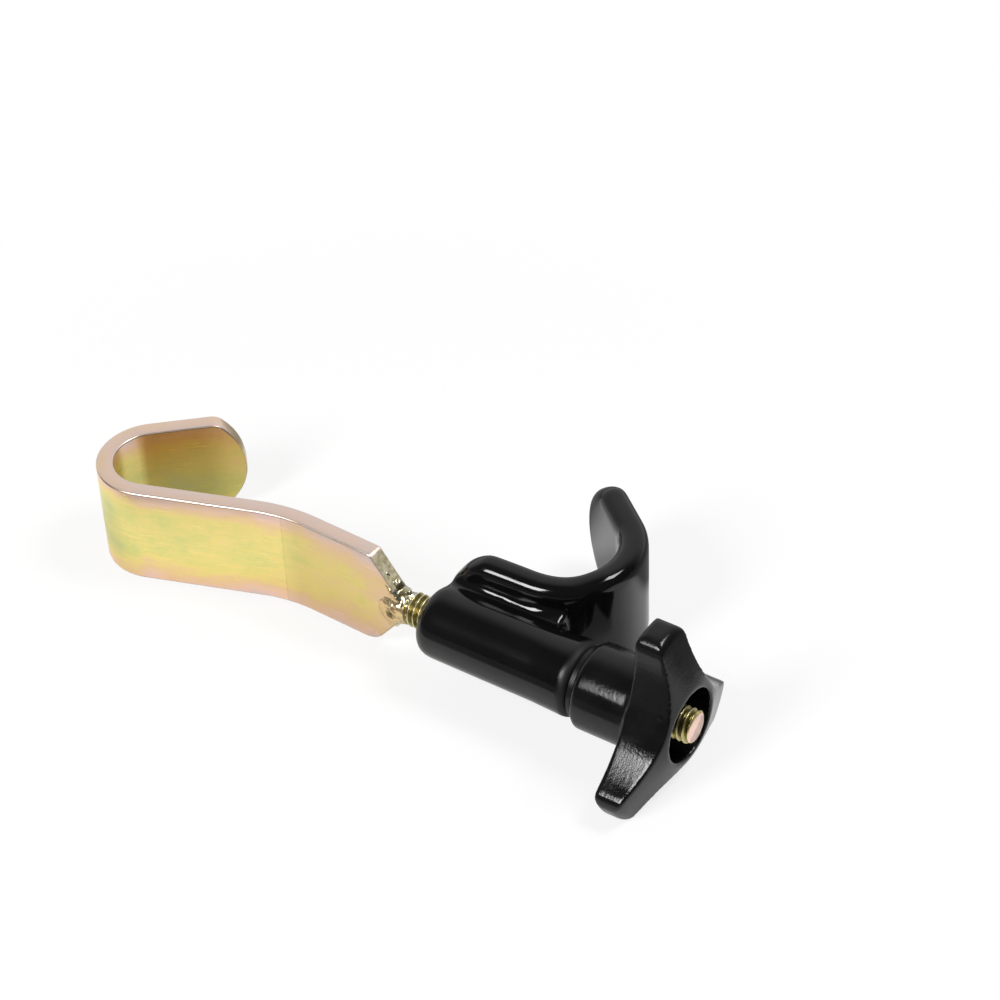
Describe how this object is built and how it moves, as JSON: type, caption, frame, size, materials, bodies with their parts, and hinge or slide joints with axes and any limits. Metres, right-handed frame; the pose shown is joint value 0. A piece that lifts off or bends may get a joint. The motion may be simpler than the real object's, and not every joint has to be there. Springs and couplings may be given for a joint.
{
  "type": "two-hook screw clamp",
  "caption": "Screw clamp with a bent flat-bar hook on a threaded stud, a vinyl-dipped hook on a sliding tube, and a three-arm knob that draws the two hooks together.",
  "frame": {"origin": "centre of the bent hook's seat, on the stud axis, at the middle of the bar's width", "axes": "+X along the stud towards the knob, +Y towards the open side of both hooks, +Z across the width of the bars and along the axes of both hook seats"},
  "size_m": [0.1584, 0.0727, 0.0387],
  "materials": {
    "yellow_zinc": "yellow zinc plated, iridescent, satin",
    "stud_zinc": "yellow zinc plated thread",
    "weld": "plated weld bead, bright and lumpy",
    "bare_steel": "mill finish, hidden under the vinyl",
    "vinyl": "dipped vinyl, high gloss",
    "washer": "smooth, semi-matt",
    "insert": "turned",
    "knob": "moulded, fine grain, satin"
  },
  "bodies": {
    "hook_stud": {"j_hook": "yellow_zinc", "threaded_stud": "stud_zinc", "stud_weld": "weld"},
    "washer": {"thrust_washer": "washer"},
    "sliding_clamp": {"clamp_tube": "bare_steel", "clamp_hook": "bare_steel", "clamp_weld": "bare_steel", "vinyl_coat": "vinyl"},
    "knob": {"knob_body": "knob", "knob_insert": "insert"}
  },
  "joints": [
    {"name": "clamp_slide", "type": "slide", "parent": "hook_stud", "child": "washer", "axis": [1, 0, 0], "range_m": [-0.00706, 0.0174]},
    {"name": "clamp_swing", "type": "hinge", "parent": "washer", "child": "sliding_clamp", "pos_m": [0.0976, 0, 0], "axis": [1, 0, 0], "continuous": true},
    {"name": "knob_turn", "type": "hinge", "parent": "washer", "child": "knob", "pos_m": [0.131, 0, 0], "axis": [1, 0, 0], "range_deg": [-1800, 4440]}
  ],
  "couplings": [
    {"joint": "knob_turn", "follows": "clamp_slide", "rad_per_m": 4452.6}
  ]
}
